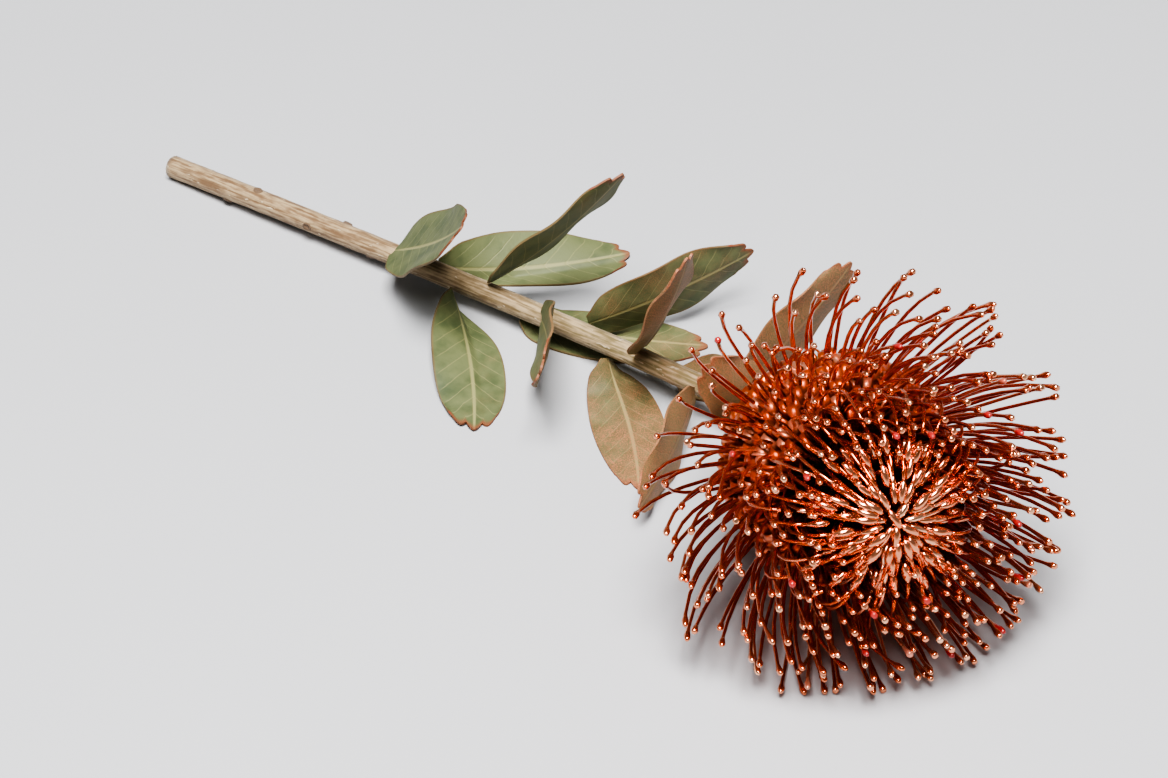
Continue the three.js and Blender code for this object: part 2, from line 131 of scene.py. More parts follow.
def extruded_rod(name, sides, rings, flatness=1.0):
    """A closed rod up the Z axis through rings of (height, radius), thinner along Y if flat."""
    bpy.ops.object.select_all(action="DESELECT")
    first_height, first_radius = rings[0]
    bpy.ops.mesh.primitive_circle_add(
        vertices=sides, radius=first_radius, fill_type="NGON", location=(0, 0, first_height))
    rod = bpy.context.object
    rod.name = name
    bpy.ops.object.mode_set(mode="EDIT")
    bpy.ops.mesh.select_all(action="SELECT")
    for (low, thin), (high, wide) in zip(rings, rings[1:]):
        bpy.ops.mesh.extrude_region_move(TRANSFORM_OT_translate={"value": (0, 0, high - low)})
        ratio = wide / thin
        bpy.ops.transform.resize(value=(ratio, ratio, 1), center_override=(0, 0, high))
    bpy.ops.mesh.select_all(action="SELECT")
    bpy.ops.transform.resize(value=(1, flatness, 1), center_override=(0, 0, 0))
    bpy.ops.mesh.normals_make_consistent(inside=False)
    bpy.ops.object.mode_set(mode="OBJECT")
    bpy.ops.object.transform_apply(location=True, rotation=True, scale=True)
    bpy.ops.object.shade_smooth()
    print(name, "has", len(rod.data.polygons), "faces")
    return rod


# %% Keep numbers on vertices
def mark(piece, name, numbers):
    """Keeps one number for each vertex under a name that the finish can read."""
    layer = piece.data.attributes.get(name) or piece.data.attributes.new(name, "FLOAT", "POINT")
    layer.data.foreach_set("value", np.asarray(numbers, dtype=np.float32))


def mark_evenly(piece, **numbers):
    """Keeps the same numbers on all vertices of a piece."""
    for name, number in numbers.items():
        mark(piece, name, np.full(len(piece.data.vertices), number))


def mark_place(piece):
    """Keeps where each vertex is now, so that a pattern can follow the piece when it is bent."""
    layer = piece.data.attributes.new("unbent", "FLOAT_VECTOR", "POINT")
    layer.data.foreach_set("vector", points_of(piece).astype(np.float32).ravel())


# %% Copy, join and remove models
def move(piece, points):
    """Moves all of a piece's vertices to new points."""
    piece.data.vertices.foreach_set("co", points.ravel())


def moved_copy(master, points):
    """A copy of a model with a mesh of its own, moved to new points."""
    copy = master.copy()
    copy.data = master.data.copy()
    move(copy, points)
    bpy.context.collection.objects.link(copy)
    return copy


def joined(name, copies):
    """One object from many."""
    bpy.ops.object.select_all(action="DESELECT")
    for copy in copies:
        copy.select_set(True)
    bpy.context.view_layer.objects.active = copies[0]
    bpy.ops.object.join()
    piece = bpy.context.object
    piece.name = name
    piece.data.name = name
    print(name, "joined from", len(copies), "copies,", len(piece.data.polygons), "faces")
    return piece


def remove(*objects):
    """Takes a model that was only copied out of the scene."""
    for each in objects:
        bpy.data.objects.remove(each)


# %% Lay a copy along a route
KNOB_LENGTH = 5.2 * MM


def run_along(points):
    """Distance walked from the first of some points to each of them."""
    gaps = np.linalg.norm(np.diff(points, axis=0), axis=1)
    return np.concatenate([[0.0], np.cumsum(gaps)])


def rows_at(spots, stations, rows):
    """Rows that belong to stations, read off at other spots between them."""
    return np.stack([np.interp(spots, stations, column) for column in rows.T], axis=1)


def laid_along(master, route, sideways, girth=1.0, **marks):
    """A copy of a straight rod bent along a route of points, with numbers marked on it."""
    rod = points_of(master) * np.array([girth, girth, 1.0])
    run = run_along(route)
    ahead = unit(np.gradient(route, axis=0))
    across = unit(sideways - ahead * (ahead * sideways).sum(axis=1, keepdims=True))
    inward = np.cross(ahead, across)
    middle, across, inward = (rows_at(rod[:, 2], run, rows) for rows in (route, across, inward))
    copy = moved_copy(master, middle + rod[:, :1] * across + rod[:, 1:2] * inward)
    mark(copy, "along", rod[:, 2] / run[-1])
    # The last stretch is marked for thick paint, and for a painted highlight that makes the tip paler.
    mark(copy, "thick_paint", np.clip((rod[:, 2] - run[-1]) / KNOB_LENGTH + 1, 0, 1) ** 2)
    mark_evenly(copy, **marks)
    return copy


print("paint gathers on the last (mm):", KNOB_LENGTH / MM)

# %% [markdown]
# ## Florets on the receptacle
# The florets stand on a fleshy cone in the spiral that sunflowers have too: each is turned by the
# golden angle from the one before, and the rank runs from 0 at the tip to 1 at the rim. Scattering
# them by chance would leave clumps and holes. The rank decides everything else, because the outer
# florets are the older ones. Seeded draws make each a little longer, shorter or more tilted than
# its neighbours, and let a few stand out of line.

# %% Sites of the florets
RECEPTACLE_RADIUS = 8.5 * MM
RECEPTACLE_HEIGHT = 26 * MM
ROOT_DEPTH = 2.5 * MM
FLORETS = 540
OPEN_FROM_RANK = 0.2
GOLDEN_ANGLE = math.pi * (3 - math.sqrt(5))
RIM_POLAR_ANGLE = math.radians(86)
LENGTH_SPREAD = 0.03
LEAN_SPREAD = math.radians(4.2)
SWAY = math.radians(7)
STRAY_SHARE = 0.08  # florets that stand out of line
STRAY_TILT = math.radians(-13)
STRAY_SWAY = math.radians(24)

dice = random.Random(20)


def floret_sites():
    """One dictionary for each floret, from the tip of the receptacle to its rim."""
    sites = []
    for number in range(FLORETS):
        rank = (number + 0.5) / FLORETS
        polar = math.acos(1 - rank * (1 - math.cos(RIM_POLAR_ANGLE)))
        sites.append({
            "rank": rank,
            "turn": number * GOLDEN_ANGLE,
            "radius": RECEPTACLE_RADIUS * math.sin(polar),
            "height": RECEPTACLE_HEIGHT * math.cos(polar),
            "stretch": 1 + LENGTH_SPREAD * dice.uniform(-1, 1),
            "tilt": LEAN_SPREAD * dice.uniform(-1, 1),
            "sway": SWAY * dice.uniform(-1, 1),
            "tint": dice.random(),
        })
        if dice.random() < STRAY_SHARE:
            sites[-1]["tilt"] = STRAY_TILT * dice.random()
            sites[-1]["sway"] = STRAY_SWAY * dice.uniform(-1, 1)
    return sites


sites = floret_sites()
closed_sites = [site for site in sites if site["rank"] < OPEN_FROM_RANK]
open_sites = [site for site in sites if site["rank"] >= OPEN_FROM_RANK]
print("closed florets:", len(closed_sites), "open florets:", len(open_sites))

# %% [markdown]
# A floret's route is found step by step: it leaves the receptacle at some lean from the head's
# axis, and the lean changes along its length. Arcs of a circle would be simpler, but a style first
# bows out and then straightens. Where it would pass through the table it is pressed up, as the
# lowest styles of a flower that lies down are.

# %% Routes of the florets
ROUTE_STEPS = 60
STYLE_GIVE = 0.6 * MM


def press(heights, lowest, give):
    """Smoothly lifts heights that would lie under the lowest one allowed."""
    return lowest + give * np.log1p(np.exp((heights - lowest) / give))


def outwards(turns):
    """Directions square to the head's axis at some turns round it."""
    turns = np.atleast_1d(turns)[:, None]
    return np.cos(turns) * head_side + np.sin(turns) * head_back


def walk(start, step, slopes):
    """Where a walk of equal steps stands before each step, and at its end."""
    return start + np.concatenate([[0.0], np.cumsum(step * slopes[:-1])])


def floret_route(site, lean_at, length, offset, clearance):
    """Points from the sunken root to the tip, and the direction sideways of them."""
    distance = np.linspace(-ROOT_DEPTH, length, ROUTE_STEPS + 1)
    step = distance[1] - distance[0]
    lean = lean_at(distance + step / 2)
    root_lean = float(lean_at(np.zeros(1))[0])
    radius = site["radius"] + offset * math.cos(root_lean) - ROOT_DEPTH * math.sin(root_lean)
    height = site["height"] - offset * math.sin(root_lean) - ROOT_DEPTH * math.cos(root_lean)
    radii = walk(radius, step, np.sin(lean))
    heights = walk(height, step, np.cos(lean))
    turns = site["turn"] + site["sway"] * (np.maximum(distance, 0) / length) ** 2
    points = head_base + radii[:, None] * outwards(turns) + heights[:, None] * head_axis
    points[:, 2] = press(points[:, 2], clearance, STYLE_GIVE)
    return points, outwards(site["turn"] + math.pi / 2)


print("points on a route:", ROUTE_STEPS + 1)

# %% [markdown]
# ## Styles
# The style is the wire that gives the flower its name. It leaves the head almost square to the
# axis at the rim, bows, and ends nearly parallel to it. Its tip swells into a knob that carries
# the pollen. Six sides are enough: smooth shading rounds them, and there are hundreds. Seven
# models of different length are extruded, because stretching one would stretch its knob.

# %% Open styles
STYLE_LENGTH = (47 * MM, 62 * MM)  # youngest, oldest
STYLE_LEAN = (math.radians(40), math.radians(96))
STYLE_END = (math.radians(-4), math.radians(20))
STYLE_RADIUS = 0.56 * MM
STYLE_GIRTH = (1.25, 0.9)  # of the radius, at the root and along the shaft
STYLE_HASTE = 2.2  # the shaft is even after its first 1 / 2.2
STYLE_STEPS = 8
STYLE_MODELS = 7
KNOB_RADIUS = 0.98 * MM
KNOB_OUTLINE = ((0.3, 0.7), (0.6, 1.0), (0.82, 0.85), (0.97, 0.4))


def style_rings(length):
    """Heights and radii of a style: thick at the root, then even, then the knob."""
    shaft = length - KNOB_LENGTH
    knob = rings_from(KNOB_OUTLINE, KNOB_LENGTH, KNOB_RADIUS, start=shaft)
    return rings_from(tapered(STYLE_GIRTH, STYLE_STEPS, STYLE_HASTE), shaft, STYLE_RADIUS) + knob


def open_age(site):
    """0 for the youngest open floret, 1 at the rim."""
    return (site["rank"] - OPEN_FROM_RANK) / (1 - OPEN_FROM_RANK)


def open_style(site, masters):
    """One style, cut from the master whose length is nearest."""
    age = open_age(site)
    length = blend(STYLE_LENGTH, age) * site["stretch"]
    leans = (blend(STYLE_LEAN, age) + site["tilt"], blend(STYLE_END, age) + site["tilt"])

    def lean_at(run):
        return blend(leans, np.clip(run / length, 0, 1))

    points, sideways = floret_route(site, lean_at, length, 0, KNOB_RADIUS)
    nearest = min(masters, key=lambda master_length: abs(master_length - length - ROOT_DEPTH))
    return laid_along(masters[nearest], points, sideways, tint=site["tint"])


style_models = {}
for share in np.linspace(0, 1, STYLE_MODELS):
    model_length = blend(STYLE_LENGTH, share) + ROOT_DEPTH
    style_models[model_length] = extruded_rod("style_model", 6, style_rings(model_length))
styles = joined("styles", [open_style(site, style_models) for site in open_sites])
remove(*style_models.values())

# %% [markdown]
# ## Rolled petals
# In bud, four petals are fused into a tube round the style. When the style springs free, three of
# them roll back together as a broad ribbon and the fourth as a narrow one. The rolls are what the
# eye sees between the styles: small bright curls. A curl could be spun round an axis, but laying a
# flat rod along a route that keeps turning joins it to its straight claw without a seam.

# %% Ribbons of the open florets
RIBBON_LENGTH = (21 * MM, 19 * MM)
RIBBON_OFFSET = 1.3 * MM  # under the style
RIBBON_CLEARANCE = 0.6 * MM  # over the table
RIBBON_SPLAY = math.radians(9)
RIBBON_SWAY = 0.4  # of the style's
RIBBON_GIRTH = (0.78, 1.15)
BROAD_WIDTH = 2.7 * MM
BROAD_TIGHTNESS = (0.8, 1.1)
NARROW_WIDTH = 1.2 * MM
NARROW_TIGHTNESS = (0.7, 1.0)
ROLL_RADIUS = 1.9 * MM
ROLL_TURN = math.radians(330)
ROLL_LENGTH = ROLL_RADIUS * ROLL_TURN
CLAW_OUTLINE = ((0.0, 0.8), (0.3, 1.0), (0.6, 0.78), (0.85, 0.8), (1.0, 0.95))
ROLL_OUTLINE = (
    (0.12, 1.0), (0.25, 1.05), (0.38, 1.05), (0.5, 1.0),
    (0.62, 1.0), (0.74, 1.05), (0.87, 0.9), (1.0, 0.35),
)


def ribbon_rings(width):
    """Half widths of a ribbon from its root, along the claw and round the roll."""
    straight = blend(RIBBON_LENGTH, 0.5) + ROOT_DEPTH
    roll = rings_from(ROLL_OUTLINE, ROLL_LENGTH, width / 2, start=straight)
    return rings_from(CLAW_OUTLINE, straight, width / 2) + roll


def rolled_ribbon(site, master, splay, tightness):
    """One rolled petal, turned a little round the floret."""
    age = open_age(site)
    straight = blend(RIBBON_LENGTH, age) * site["stretch"]
    start = blend(STYLE_LEAN, age) + site["tilt"]

    def lean_at(run):
        return start + ROLL_TURN * tightness * np.maximum(0, (run - straight) / ROLL_LENGTH)

    turned = dict(site, sway=site["sway"] * RIBBON_SWAY + splay)
    length = straight + ROLL_LENGTH
    points, sideways = floret_route(turned, lean_at, length, RIBBON_OFFSET, RIBBON_CLEARANCE)
    girth = blend(RIBBON_GIRTH, dice.random())
    return laid_along(master, points, sideways, girth, tint=site["tint"])


broad_model = extruded_rod("broad_ribbon_model", 6, ribbon_rings(BROAD_WIDTH), flatness=0.3)
narrow_model = extruded_rod("narrow_ribbon_model", 5, ribbon_rings(NARROW_WIDTH), flatness=0.5)
ribbons = []
for number, site in enumerate(open_sites):
    tightness = dice.uniform(*BROAD_TIGHTNESS)
    ribbons.append(rolled_ribbon(site, broad_model, -RIBBON_SPLAY / 2, tightness))
    if number % 2:
        tightness = dice.uniform(*NARROW_TIGHTNESS)
        ribbons.append(rolled_ribbon(site, narrow_model, RIBBON_SPLAY, tightness))
rolled_petals = joined("rolled_petals", ribbons)
remove(broad_model, narrow_model)

# %% [markdown]
# ## Closed florets
# In the middle the florets haven't opened. The four petal tips still clasp the end of the style,
# which is longer than they are, so it stands out as a bow. The swollen petal tips all point in
# over the middle of the head and make its bright star, and a shallow groove runs between each two
# of them. The petal tube runs up inside the bow. The three parts are rods of their own: one rod
# can't split in two and meet itself again.

# %% Models of the bow, the petal tips and the tube
BUD_LENGTH = (51 * MM, 58 * MM)  # innermost, outermost
BOW_STEPS = 13
BOW_GIRTH = (1.15, 0.85)
LIMB_LENGTH = 6 * MM
LIMB_RADIUS = 1.2 * MM
LIMB_GIRTH = (0.82, 1.12)
LIMB_OUTLINE = (
    (0.0, 0.36), (0.16, 0.62), (0.38, 0.92), (0.62, 1.0), (0.84, 0.8), (0.96, 0.45), (1.0, 0.2),
)
LIMB_GROOVE = 0.12
TUBE_LENGTH = 36 * MM
TUBE_RADIUS = 0.6 * MM
TUBE_GIRTH = (1.7, 1.0)  # wider at the root, where the four petals are fused
TUBE_STEPS = 9
TUBE_HASTE = 9 / 4


def grooved(limb):
    """Four grooves along the clasped petal tips, where the petals meet."""
    local = points_of(limb)
    turn = np.arctan2(local[:, 1], local[:, 0])
    local[:, :2] *= (1 - LIMB_GROOVE * np.sin(2 * turn) ** 2)[:, None]
    move(limb, local)
    return limb


bow_length = blend(BUD_LENGTH, 0.5) - LIMB_LENGTH + ROOT_DEPTH
bow_rings = rings_from(tapered(BOW_GIRTH, BOW_STEPS), bow_length, STYLE_RADIUS)
bow_model = extruded_rod("bow_model", 6, bow_rings)
limb_rings = rings_from(LIMB_OUTLINE, LIMB_LENGTH, LIMB_RADIUS)
limb_model = grooved(extruded_rod("limb_model", 8, limb_rings))
tube_rings = rings_from(tapered(TUBE_GIRTH, TUBE_STEPS, TUBE_HASTE), TUBE_LENGTH, TUBE_RADIUS)
tube_model = extruded_rod("tube_model", 6, tube_rings)

# %% Closed florets
TUBE_STATIONS = 16
TUBE_BOW = 0.22
BUD_LEAN = (math.radians(37), math.radians(60))
BUD_TURN = (math.radians(135), math.radians(168))
BUD_TURN_SPREAD = 0.12
BUD_STRAIGHT_SHARE = 0.4


def tube_route(root, neck):
    """A shallow curve inside the bow, from the root to the neck of the petal tips."""
    share = np.linspace(0, 1, TUBE_STATIONS)[:, None]
    middle = (root + neck) / 2 + TUBE_BOW * np.linalg.norm(neck - root) * head_axis
    return (1 - share) ** 2 * root + 2 * share * (1 - share) * middle + share ** 2 * neck


def closed_floret(site):
    """The three visible parts of one closed floret."""
    age = site["rank"] / OPEN_FROM_RANK
    length = blend(BUD_LENGTH, age) * site["stretch"]
    straight = length * BUD_STRAIGHT_SHARE
    start = blend(BUD_LEAN, age) + site["tilt"]
    turn_back = blend(BUD_TURN, age) * (1 + BUD_TURN_SPREAD * (site["tint"] - 0.5))

    def lean_at(run):
        return start - turn_back * np.maximum(0, (run - straight) / (length - straight))

    points, sideways = floret_route(site, lean_at, length, 0, LIMB_RADIUS)
    tint = site["tint"]
    limb_share = LIMB_LENGTH / (length + ROOT_DEPTH)
    neck = int(round(ROUTE_STEPS * (1 - limb_share)))
    string = tube_route(points[0], points[neck])
    girth = blend(LIMB_GIRTH, dice.random())
    return [
        laid_along(bow_model, points[:neck + 2], sideways, tint=tint),
        # The whole petal tip takes the thick paint and its painted highlight.
        laid_along(limb_model, points[neck - 1:], sideways, girth, tint=tint, thick_paint=1.0),
        laid_along(tube_model, string, sideways, tint=tint),
    ]


buds = [part for site in closed_sites for part in closed_floret(site)]
closed_florets = joined("closed_florets", buds)
remove(bow_model, limb_model, tube_model)

# %% [markdown]
# ## Receptacle
# The cone that everything grows from is hidden, but light that falls between the florets must end
# on something. A sphere is squashed to the cone's size and its lower half is cut away with bisect,
# which also closes the cut. A cone would have a sharp tip that the real one doesn't have.

# %% Receptacle
def placed_on_head(piece):
    """Turns a piece drawn round the Z axis to the head's axis, at its base."""
    x, y, z = np.split(points_of(piece), 3, axis=1)
    move(piece, head_base + x * head_side + y * head_back + z * head_axis)
    piece.data.update()


def receptacle_cone():
    """A dome with a flat underside."""
    bpy.ops.object.select_all(action="DESELECT")
    bpy.ops.mesh.primitive_uv_sphere_add(segments=24, ring_count=16, radius=1)
    cone = bpy.context.object
    cone.name = "receptacle"
    half_sizes = (RECEPTACLE_RADIUS, RECEPTACLE_RADIUS, RECEPTACLE_HEIGHT)
    bpy.ops.object.mode_set(mode="EDIT")
    bpy.ops.mesh.select_all(action="SELECT")
    bpy.ops.transform.resize(value=half_sizes, center_override=(0, 0, 0))
    bpy.ops.mesh.bisect(plane_co=(0, 0, 0), plane_no=(0, 0, 1), use_fill=True, clear_inner=True)
    bpy.ops.object.mode_set(mode="OBJECT")
    bpy.ops.object.shade_smooth()
    placed_on_head(cone)
    mark_evenly(cone, along=0.0, tint=0.5)
    return cone


receptacle = receptacle_cone()
print("receptacle has", len(receptacle.data.polygons), "faces")

# %% [markdown]
# The spray can reaches what stands out and misses what lies deep in the head. Each vertex gets a
# mark from 0 to 1 for how far out of the head it is, and the paint's finish reads it, both for the
# paint and for a painted shade that darkens the deep parts. A texture could be painted instead, but
# hundreds of thin wires are far easier to reach by their distance.

# %% How much paint reaches each spot, and how deep the painted shade is
HEART_HEIGHT = 14 * MM  # the unpainted middle of the head, over its base
# Near the heart the finish also darkens the wires as painted shade.
HEAD_SPRAY_AND_SHADE = (14 * MM, 44 * MM)  # distances of no paint and of full paint


def smoothstep(value, low, high):
    """0 at low and beyond, 1 at high and beyond, smooth between."""
    share = np.clip((value - low) / (high - low), 0, 1)
    return share * share * (3 - 2 * share)


def mark_spray(piece, centre, bare, full):
    """Marks how much paint each vertex caught, by its distance from a centre."""
    reach = np.linalg.norm(points_of(piece) - centre, axis=1)
    mark(piece, "spray", smoothstep(reach, bare, full))


head_pieces = [styles, rolled_petals, closed_florets, receptacle]
for piece in head_pieces:
    mark_spray(piece, head_base + HEART_HEIGHT * head_axis, *HEAD_SPRAY_AND_SHADE)
print("paint is full from (mm):", HEAD_SPRAY_AND_SHADE[1] / MM)

# %% [markdown]
# ## Involucre
# Under the head sits a cup of overlapping bracts, tough pointed scales with a fringe of hairs. One
# bract is extruded as a flat pointed blade, and its copies climb the cup in the same golden spiral.
# Carving the scales into the cup would be lighter, but their edges would lie flat.

# %% Cup and bracts
CUP_RADIUS = 8 * MM
CUP_NECK_RADIUS = 3.9 * MM
CUP_HEIGHT = 13 * MM
CUP_SKIRT = 1 * MM  # reach over the stem's top
JOINT_GAP = 0.3 * MM
CUP_OUTLINE = (
    (-CUP_HEIGHT - CUP_SKIRT, CUP_NECK_RADIUS),
    (-CUP_HEIGHT, CUP_NECK_RADIUS + 0.4 * MM),
    (-CUP_HEIGHT * 0.72, 5.6 * MM),
    (-CUP_HEIGHT * 0.45, 7.0 * MM),
    (-JOINT_GAP - 2.4 * MM, CUP_RADIUS - 0.2 * MM),
    (-JOINT_GAP - 1 * MM, CUP_RADIUS),
    (-JOINT_GAP, CUP_RADIUS - 0.6 * MM),
)
BRACTS = 44
BRACT_LENGTH = 8.6 * MM
BRACT_WIDTH = 5.6 * MM
BRACT_OUTLINE = (
    (0.0, 0.7), (0.2, 0.95), (0.4, 1.0), (0.6, 0.86), (0.78, 0.58), (0.92, 0.26), (1.0, 0.05),
)
BRACT_SIZE = (0.62, 1.0)  # lowest, topmost
BRACT_SINK = 0.3 * MM
BRACT_DROP = 1.4 * MM
BRACT_STATIONS = 12
BRACT_REACH = 1.02  # the blade ends a little before its route does
BRACT_CURVE = (1.25, 1.1, 0.9)  # steep at the foot, closing on the cup, then standing off
CUP_SWELL = 0.8
BRACT_LEAN = math.atan2(CUP_RADIUS - CUP_NECK_RADIUS, CUP_HEIGHT)
CUP_SPRAY_HEIGHT = 6 * MM
CUP_SPRAY = (26 * MM, 12 * MM)


def cup_core():
    """The stem's widened top that carries the bracts."""
    core = extruded_rod("cup_core", 28, CUP_OUTLINE)
    mark_evenly(core, along=0.0, tint=0.5)
    placed_on_head(core)
    return core


def bract(master, number):
    """One bract on the cup, with its point standing a little off."""
    share = number / (BRACTS - 1)
    turn = number * GOLDEN_ANGLE
    size = blend(BRACT_SIZE, share)
    foot = blend((-CUP_HEIGHT - BRACT_SINK, -BRACT_LENGTH - BRACT_DROP), share)
    radius = blend((CUP_NECK_RADIUS, CUP_RADIUS), share ** CUP_SWELL) - BRACT_SINK
    climb = np.linspace(0, BRACT_REACH, BRACT_STATIONS)
    steep, closing, flare = BRACT_CURVE
    lean = BRACT_LEAN * (steep - closing * climb + flare * climb ** 3)
    step = size * BRACT_LENGTH * (climb[1] - climb[0])
    radii = walk(radius, step, np.sin(lean))
    heights = walk(foot, step, np.cos(lean))
    points = head_base + radii[:, None] * outwards(turn) + heights[:, None] * head_axis
    return laid_along(master, points, outwards(turn + math.pi / 2), tint=dice.random())


bract_rings = rings_from(BRACT_OUTLINE, BRACT_LENGTH, BRACT_WIDTH / 2)
bract_model = extruded_rod("bract_model", 8, bract_rings, flatness=0.2)
bracts = [bract(bract_model, number) for number in range(BRACTS)]
involucre = joined("involucre_bracts", [cup_core()] + bracts)
remove(bract_model)
mark_spray(involucre, head_base + CUP_SPRAY_HEIGHT * head_axis, *CUP_SPRAY)

# %% [markdown]
# ## Stem
# The stem is woody, level where it was cut and bent up to the nodding head. Its middle line is a
# curve with two straight pulls, one at each end, worked out here in numbers because the leaves have
# to find their seats on it too.

# %% Line of the stem
STEM_RUN_IN = np.array([120.0, 6.0, 9.7]) * MM
STEM_BEND_IN = 44 * MM
LEAVES = 14
FIRST_LEAF = 0.36
LAST_LEAF = 0.93
FIRST_LEAF_TURN = math.radians(241)
LINE_STEPS = 400

neck = head_base - (CUP_HEIGHT + CUP_SKIRT + JOINT_GAP) * head_axis
pulls = (cut_end, flower_origin + STEM_RUN_IN, neck - STEM_BEND_IN * head_axis, neck)


def stem_curve():
    """Evenly spaced points of the stem's middle line, and its length."""
    t = np.linspace(0, 1, LINE_STEPS * 3)[:, None]
    weights = ((1 - t) ** 3, 3 * t * (1 - t) ** 2, 3 * t ** 2 * (1 - t), t ** 3)
    uneven = sum(weight * pull for weight, pull in zip(weights, pulls))
    run = run_along(uneven)
    return rows_at(np.linspace(0, run[-1], LINE_STEPS + 1), run, uneven), run[-1]


stem_line, stem_length = stem_curve()
print("stem length (mm):", round(stem_length / MM, 1))


def leaf_seat(number):
    """The seat of a leaf or, below zero, a scar: share of the stem, point, ahead, out, sideways."""
    share = FIRST_LEAF + (LAST_LEAF - FIRST_LEAF) * number / (LEAVES - 1)
    turn = FIRST_LEAF_TURN + number * GOLDEN_ANGLE
    at = share * LINE_STEPS
    cell = int(at)
    gap = stem_line[cell + 1] - stem_line[cell]
    ahead = unit(gap)
    across = unit(np.cross(UP, ahead))
    out = math.cos(turn) * across + math.sin(turn) * np.cross(across, ahead)
    return share, stem_line[cell] + gap * (at - cell), ahead, out, np.cross(ahead, out)


# %% [markdown]
# The stem itself is the straight rod again, slimmer at the neck. A turned rod looks like a dowel,
# so before it is bent it gets low ridges that wind round it and slight swellings along it. Its
# straight shape is kept as a mark, so that the bark's long grain will follow the bend.

# %% Stem
STEM_SIDES = 20
STEM_RINGS = 150
RIDGES = ((0.012, 4, 9), (0.008, 7, -31))  # height, number round the stem, twist
SWELLING = 0.010
SWELLING_WAVES = 143
BARK_SLACK = 0.985  # keeps the highest ridge inside the plain stem


def stem_radius(share):
    """Radius at a share of the stem's length, without its unevenness."""
    return blend(STEM_RADIUS, share)


def roughened(piece):
    """Gives the straight stem low ridges along it and swellings."""
    local = points_of(piece)
    share = local[:, 2] / stem_length
    turn = np.arctan2(local[:, 1], local[:, 0])
    wave = sum(high * np.sin(count * turn + twist * share) for high, count, twist in RIDGES)
    wave += SWELLING * np.sin(SWELLING_WAVES * share + 2 * np.sin(turn))
    local[:, :2] *= (1 + wave)[:, None] * BARK_SLACK
    move(piece, local)


stem_rings = rings_from(tapered(STEM_RADIUS, STEM_RINGS), stem_length, 1)
stem_model = extruded_rod("stem_model", STEM_SIDES, stem_rings)
roughened(stem_model)
mark_place(stem_model)
stem = laid_along(stem_model, stem_line, np.array([[0.0, 1.0, 0.0]]), tint=0.5)
remove(stem_model)

# %% [markdown]
# The lower leaves were stripped off, and each left a scar: a small raised oval with a sunken
# middle. A squashed sphere would do for one seen from afar, but here the middle is inset and
# pushed in, so that the light catches a rim.

# %% Leaf scars
FIRST_SCAR = -7
SCAR_RADIUS = 1.7 * MM
SCAR_HEIGHT = 1.6 * MM
SCAR_TOP = 0.72
SCAR_RIM = 0.35 * MM
SCAR_SINK = 0.35 * MM
SCAR_OVAL = (0.85, 1.25)
SCAR_CLEARANCE = 0.1 * MM
STEM_SPRAY = (110 * MM, 12 * MM)


def scar_shape():
    """An oval knob whose top is narrowed, inset and pushed in."""
    bpy.ops.object.select_all(action="DESELECT")
    bpy.ops.mesh.primitive_cylinder_add(vertices=14, radius=SCAR_RADIUS, depth=SCAR_HEIGHT)
    knob = bpy.context.object
    bpy.ops.object.mode_set(mode="EDIT")
    bpy.ops.mesh.select_all(action="DESELECT")
    bpy.ops.object.mode_set(mode="OBJECT")
    for face in knob.data.polygons:
        face.select = face.normal.z > 0.9
    bpy.ops.object.mode_set(mode="EDIT")
    bpy.ops.transform.resize(value=(SCAR_TOP, SCAR_TOP, 1), center_override=(0, 0, 0))
    bpy.ops.mesh.inset(thickness=SCAR_RIM)
    bpy.ops.transform.translate(value=(0, 0, -SCAR_SINK))
    bpy.ops.object.mode_set(mode="OBJECT")
    bpy.ops.object.shade_smooth()
    mark_place(knob)
    return knob


def scar(master, number):
    """One scar, seated on the stem's side."""
    share, point, ahead, out, side = leaf_seat(number)
    seat = point + out * (stem_radius(share) - SCAR_SINK)
    x, y, z = np.split(points_of(master), 3, axis=1)
    wide, long = SCAR_OVAL
    placed = seat + wide * x * side - long * y * ahead + z * out
    placed[:, 2] = np.maximum(placed[:, 2], SCAR_CLEARANCE)
    copy = moved_copy(master, placed)
    mark_evenly(copy, along=share, tint=0.2)
    return copy


scar_model = scar_shape()
scars = [scar(scar_model, number) for number in range(FIRST_SCAR, 0)]
stem = joined("stem_rod", [stem] + scars)
remove(scar_model)
mark_spray(stem, head_base, *STEM_SPRAY)

# %% [markdown]
# ## Leaves
# The leaves are stalkless, leathery and oval, and end in three blunt teeth. A leaf starts as a flat
# grid that is bent to the leaf's surface: a midrib that leans out from the stem and lies down where
# it meets the table, and two halves folded up from it. Sculpting each by hand would take fourteen
# times as long, and they would hardly lie on the table so closely.

# %% Midrib of a leaf
LEAF_LENGTH = (62 * MM, 46 * MM)  # lowest leaf, topmost leaf
LEAF_WIDTH = (24 * MM, 19 * MM)
LEAF_THICKNESS = 0.8 * MM
LEAF_BASE_WIDTH = 5 * MM
LEAF_LEAN = (math.radians(38), math.radians(66))
LEAF_CURL = math.radians(16)
LEAF_GIVE = 6 * MM
LEAF_STIFF_BASE = 14 * MM
MIDRIB_STEPS = 24
LEAF_FLOOR = LEAF_THICKNESS / 2  # height of a leaf's middle where it lies on the table


